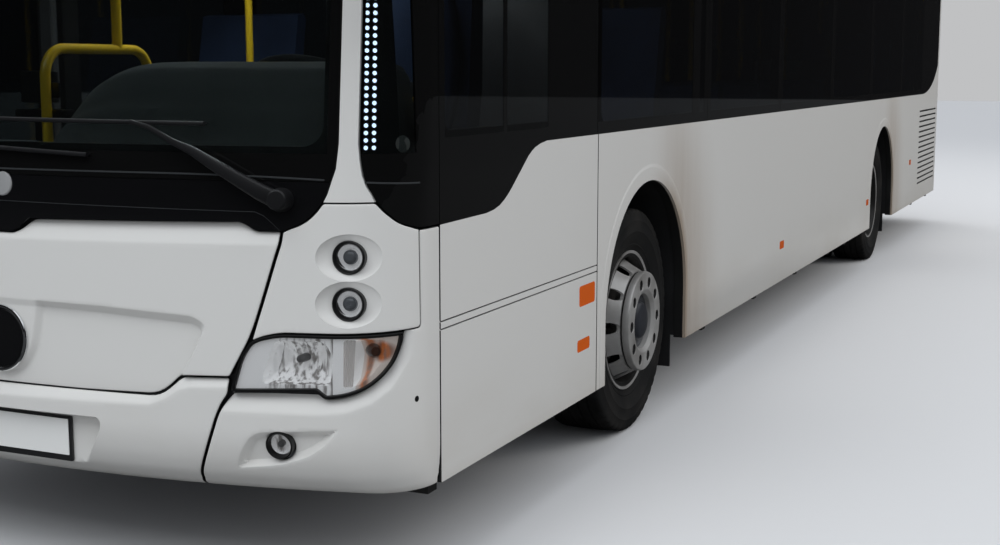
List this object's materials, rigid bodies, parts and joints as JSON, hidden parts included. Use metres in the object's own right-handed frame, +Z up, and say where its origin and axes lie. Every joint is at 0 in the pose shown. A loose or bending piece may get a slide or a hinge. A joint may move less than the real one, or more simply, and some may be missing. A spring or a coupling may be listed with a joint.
{
  "type": "city bus",
  "caption": "Low-entry city bus with hollow cabin, wide double doorways, steered front axle, twin rear wheels, opening front flap and engine lid.",
  "frame": {"origin": "on the ground under the middle of the whole length, on the centre plane", "axes": "+X forward, +Y to the bus's left, +Z up"},
  "size_m": [11.98, 2.55, 3.1199],
  "materials": {
    "body_paint": "gloss",
    "black_panel": "gloss",
    "black_trim": "satin",
    "tinted_glass": "clear",
    "dark_glass": "tinted",
    "door_glass": "tinted",
    "clear_lens": "clear",
    "lamp_housing": "polished",
    "red_lens": "gloss",
    "amber_lens": "gloss",
    "grey_plastic": "satin",
    "dash_plastic": "matte",
    "floor_cover": "matte",
    "seat_fabric": "woven",
    "yellow_paint": "gloss",
    "door_metal": "satin",
    "chassis_black": "satin",
    "axle_grey": "rough",
    "engine_grey": "rough",
    "tyre": "matte",
    "wheel_silver": "satin"
  },
  "bodies": {
    "body": {"bumper_corners": "body_paint", "cab_partition": "grey_plastic", "cowl": "black_panel", "dashboard": "dash_plastic", "driver_seat": "seat_fabric", "engine": "engine_grey", "floor": "floor_cover", "front_axle": "chassis_black", "front_bumper": "body_paint", "front_frame": "black_trim", "front_lamps": "lamp_housing", "front_pillars": "body_paint", "handrails": "yellow_paint", "headlamp_lenses": "clear_lens", "lamp_panels": "body_paint", "left_wall": "body_paint", "mirrors": "black_trim", "passenger_seats": "seat_fabric", "rear_axle": "chassis_black", "rear_bumper": "body_paint", "rear_lamps": "red_lens", "rear_wall": "body_paint", "rear_window": "dark_glass", "right_wall": "body_paint", "roof": "body_paint", "roof_hatches": "grey_plastic", "roof_unit": "body_paint", "side_markers": "amber_lens", "side_windows": "dark_glass", "underframe": "chassis_black", "wheel_houses": "black_trim", "windscreen": "tinted_glass", "wipers": "black_trim"},
    "knuckle_left": {"knuckle_left": "axle_grey"},
    "knuckle_right": {"knuckle_right": "axle_grey"},
    "front_left_wheel": {"wheel_front_left": "wheel_silver", "tyre_front_left": "tyre"},
    "front_right_wheel": {"wheel_front_right": "wheel_silver", "tyre_front_right": "tyre"},
    "rear_left_wheels": {"wheel_rear_left": "wheel_silver", "tyre_rear_left": "tyre"},
    "rear_right_wheels": {"wheel_rear_right": "wheel_silver", "tyre_rear_right": "tyre"},
    "steering_wheel": {"steering_wheel": "black_trim"},
    "front_flap": {"front_flap": "body_paint"},
    "engine_lid": {"engine_lid": "body_paint"},
    "front_door_post_front": {"front_door_post_front": "door_metal"},
    "front_door_leaf_front": {"front_door_leaf_front": "black_trim", "front_door_glass_front": "door_glass"},
    "front_door_post_back": {"front_door_post_back": "door_metal"},
    "front_door_leaf_back": {"front_door_leaf_back": "black_trim", "front_door_glass_back": "door_glass"},
    "middle_door_post_front": {"middle_door_post_front": "door_metal"},
    "middle_door_leaf_front": {"middle_door_leaf_front": "black_trim", "middle_door_glass_front": "door_glass"},
    "middle_door_post_back": {"middle_door_post_back": "door_metal"},
    "middle_door_leaf_back": {"middle_door_leaf_back": "black_trim", "middle_door_glass_back": "door_glass"}
  },
  "joints": [
    {"name": "steer_left", "type": "hinge", "parent": "body", "child": "knuckle_left", "pos_m": [3.36, 0.96, 0.479], "axis": [0, 0, 1], "range_deg": [-43, 43]},
    {"name": "steer_right", "type": "hinge", "parent": "body", "child": "knuckle_right", "pos_m": [3.36, -0.96, 0.479], "axis": [0, 0, 1], "range_deg": [-43, 43]},
    {"name": "steering_wheel_turn", "type": "hinge", "parent": "body", "child": "steering_wheel", "pos_m": [4.95, 0.65, 1.47], "axis": [-0.4695, 0, 0.8829], "range_deg": [-774, 774]},
    {"name": "front_left_spin", "type": "hinge", "parent": "knuckle_left", "child": "front_left_wheel", "pos_m": [3.36, 1.07, 0.479], "axis": [0, 1, 0], "continuous": true},
    {"name": "front_right_spin", "type": "hinge", "parent": "knuckle_right", "child": "front_right_wheel", "pos_m": [3.36, -1.07, 0.479], "axis": [0, 1, 0], "continuous": true},
    {"name": "rear_left_spin", "type": "hinge", "parent": "body", "child": "rear_left_wheels", "pos_m": [-2.64, 0.912, 0.479], "axis": [0, 1, 0], "continuous": true},
    {"name": "rear_right_spin", "type": "hinge", "parent": "body", "child": "rear_right_wheels", "pos_m": [-2.64, -0.912, 0.479], "axis": [0, 1, 0], "continuous": true},
    {"name": "front_flap_hinge", "type": "hinge", "parent": "body", "child": "front_flap", "pos_m": [5.79, 0, 1.38], "axis": [0, -1, 0], "range_deg": [0, 60]},
    {"name": "engine_lid_hinge", "type": "hinge", "parent": "body", "child": "engine_lid", "pos_m": [-5.978, 0, 1.356], "axis": [0, 1, 0], "range_deg": [0, 80]},
    {"name": "front_door_post_back_turn", "type": "hinge", "parent": "body", "child": "front_door_post_back", "pos_m": [4.086, -1.2475, 1.392], "axis": [0, 0, 1], "range_deg": [0, 90]},
    {"name": "front_door_leaf_back_turn", "type": "hinge", "parent": "front_door_post_back", "child": "front_door_leaf_back", "pos_m": [4.381, -1.2475, 1.392], "axis": [0, 0, 1], "range_deg": [-180, 0]},
    {"name": "front_door_post_front_turn", "type": "hinge", "parent": "body", "child": "front_door_post_front", "pos_m": [5.214, -1.2475, 1.392], "axis": [0, 0, 1], "range_deg": [-90, 0]},
    {"name": "front_door_leaf_front_turn", "type": "hinge", "parent": "front_door_post_front", "child": "front_door_leaf_front", "pos_m": [4.919, -1.2475, 1.392], "axis": [0, 0, 1], "range_deg": [0, 180]},
    {"name": "middle_door_post_back_turn", "type": "hinge", "parent": "body", "child": "middle_door_post_back", "pos_m": [-0.354, -1.2475, 1.392], "axis": [0, 0, 1], "range_deg": [0, 90]},
    {"name": "middle_door_leaf_back_turn", "type": "hinge", "parent": "middle_door_post_back", "child": "middle_door_leaf_back", "pos_m": [-0.0465, -1.2475, 1.392], "axis": [0, 0, 1], "range_deg": [-180, 0]},
    {"name": "middle_door_post_front_turn", "type": "hinge", "parent": "body", "child": "middle_door_post_front", "pos_m": [0.824, -1.2475, 1.392], "axis": [0, 0, 1], "range_deg": [-90, 0]},
    {"name": "middle_door_leaf_front_turn", "type": "hinge", "parent": "middle_door_post_front", "child": "middle_door_leaf_front", "pos_m": [0.5165, -1.2475, 1.392], "axis": [0, 0, 1], "range_deg": [0, 180]}
  ],
  "couplings": [
    {"joint": "steer_right", "follows": "steer_left", "ratio": 1},
    {"joint": "steering_wheel_turn", "follows": "steer_left", "ratio": 18},
    {"joint": "front_door_leaf_back_turn", "follows": "front_door_post_back_turn", "ratio": -2},
    {"joint": "front_door_post_front_turn", "follows": "front_door_post_back_turn", "ratio": -1},
    {"joint": "front_door_leaf_front_turn", "follows": "front_door_post_back_turn", "ratio": 2},
    {"joint": "middle_door_leaf_back_turn", "follows": "middle_door_post_back_turn", "ratio": -2},
    {"joint": "middle_door_post_front_turn", "follows": "middle_door_post_back_turn", "ratio": -1},
    {"joint": "middle_door_leaf_front_turn", "follows": "middle_door_post_back_turn", "ratio": 2}
  ]
}
